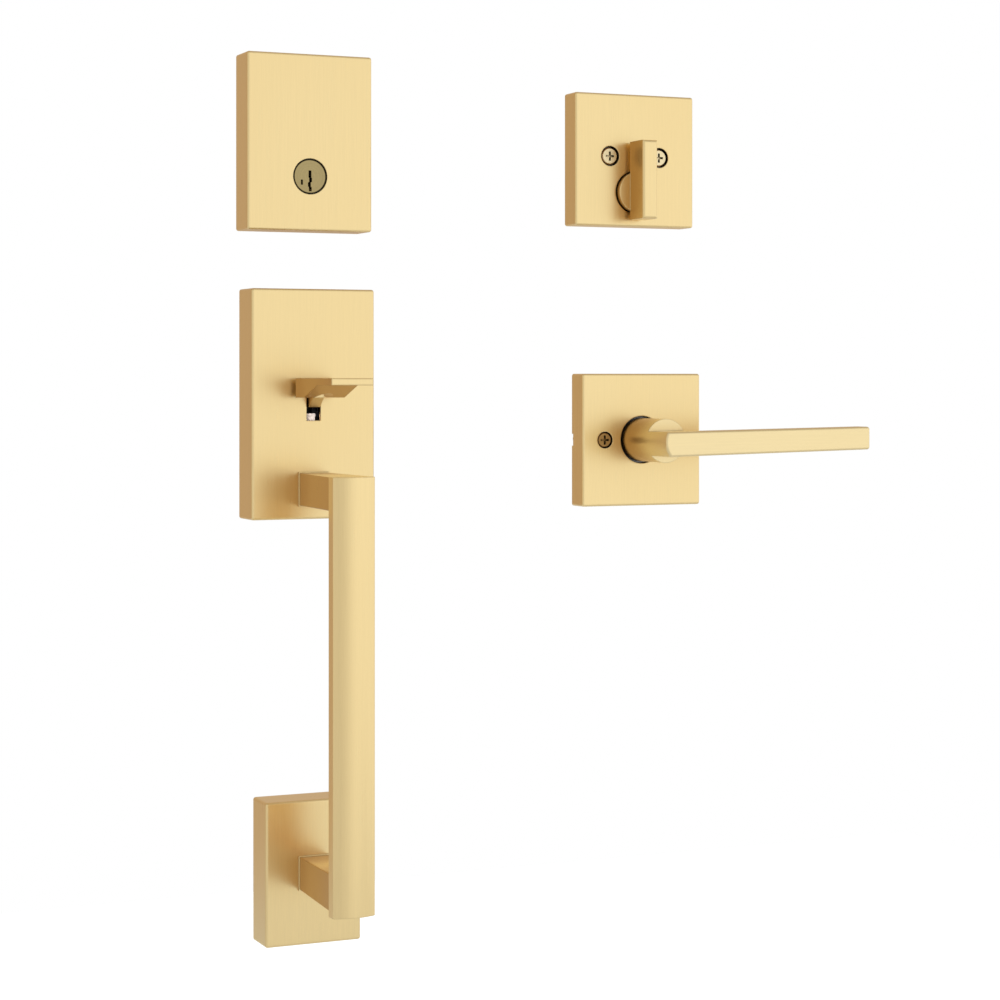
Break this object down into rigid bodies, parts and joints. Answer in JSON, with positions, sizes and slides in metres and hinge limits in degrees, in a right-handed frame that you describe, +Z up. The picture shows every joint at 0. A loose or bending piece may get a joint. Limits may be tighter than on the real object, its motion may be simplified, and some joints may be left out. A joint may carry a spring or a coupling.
{
  "type": "entry door handleset",
  "caption": "Square entry door trim in satin brass: keyed deadbolt cover, thumb-latch pull grip, thumbturn rose and lever handle on a rose.",
  "frame": {"origin": "centre of the back of the tall escutcheon, on the door's face", "axes": "+Z up along the pull grip, +X to the right seen from the front, trim fronts face -Y, hidden parts reach into the door towards +Y"},
  "size_m": [0.3126, 0.1334, 0.4178],
  "materials": {
    "satin_brass": "satin, fine vertical brushing",
    "plug_brass": "dull, turned",
    "screw_brass": "bright plated",
    "zinc": "cast, bare",
    "steel": "zinc plated",
    "pale_plastic": "moulded",
    "dark_plastic": "moulded"
  },
  "bodies": {
    "trim": {"cylinder_housing": "zinc", "deadbolt_cover": "satin_brass", "lever_plate": "steel", "lever_rose": "satin_brass", "lever_screw_left": "screw_brass", "lever_screw_right": "screw_brass", "lever_spring": "steel", "lift_spring": "steel", "lower_escutcheon": "satin_brass", "lower_nut": "steel", "lower_stud": "steel", "pull_handle": "satin_brass", "spring_cage": "steel", "support_bracket": "steel", "thumb_pin": "steel", "turn_plate": "steel", "turn_rose": "satin_brass", "turn_screw_left": "screw_brass", "turn_screw_right": "screw_brass", "upper_escutcheon": "satin_brass", "upper_grip_screw": "steel", "upper_post_left": "steel", "upper_post_right": "steel"},
    "plug": {"key_plug": "plug_brass", "plug_retainer": "steel", "tailpiece": "steel"},
    "thumb": {"thumb_piece": "satin_brass"},
    "lifter": {"lift_slider": "pale_plastic"},
    "hub": {"drive_hub": "zinc", "drive_spindle": "steel"},
    "turn": {"turn_knob": "satin_brass", "turn_coupler": "dark_plastic", "turn_ring": "steel"},
    "lever": {"lever_handle": "satin_brass", "lever_spindle": "steel", "lever_set_screw": "steel", "lever_ring": "steel"}
  },
  "joints": [
    {"name": "plug_turn", "type": "hinge", "parent": "trim", "child": "plug", "pos_m": [-0.0011, 0, 0.1069], "axis": [0, 1, 0], "range_deg": [-90, 90]},
    {"name": "thumb_press", "type": "hinge", "parent": "trim", "child": "thumb", "pos_m": [0, -0.011, 0.002], "axis": [1, 0, 0], "range_deg": [0, 15], "stiffness_Nm_per_rad": 0.2, "springref_deg": -17.19, "deforming": ["lift_spring"]},
    {"name": "slider_lift", "type": "slide", "parent": "trim", "child": "lifter", "axis": [0, 0, 1], "range_m": [0, 0.002]},
    {"name": "hub_turn", "type": "hinge", "parent": "trim", "child": "hub", "pos_m": [0, 0, -0.0164], "axis": [0, -1, 0], "range_deg": [0, 29]},
    {"name": "thumbturn", "type": "hinge", "parent": "trim", "child": "turn", "pos_m": [0.17235, 0, 0.10495], "axis": [0, -1, 0], "range_deg": [0, 90]},
    {"name": "lever_turn", "type": "hinge", "parent": "trim", "child": "lever", "pos_m": [0.17625, 0, -0.01875], "axis": [0, 1, 0], "range_deg": [-45, 45], "stiffness_Nm_per_rad": 1.2, "deforming": ["lever_spring"]}
  ],
  "couplings": [
    {"joint": "slider_lift", "follows": "thumb_press", "m_per_rad": 0.0075},
    {"joint": "hub_turn", "follows": "thumb_press", "ratio": 1.9}
  ]
}
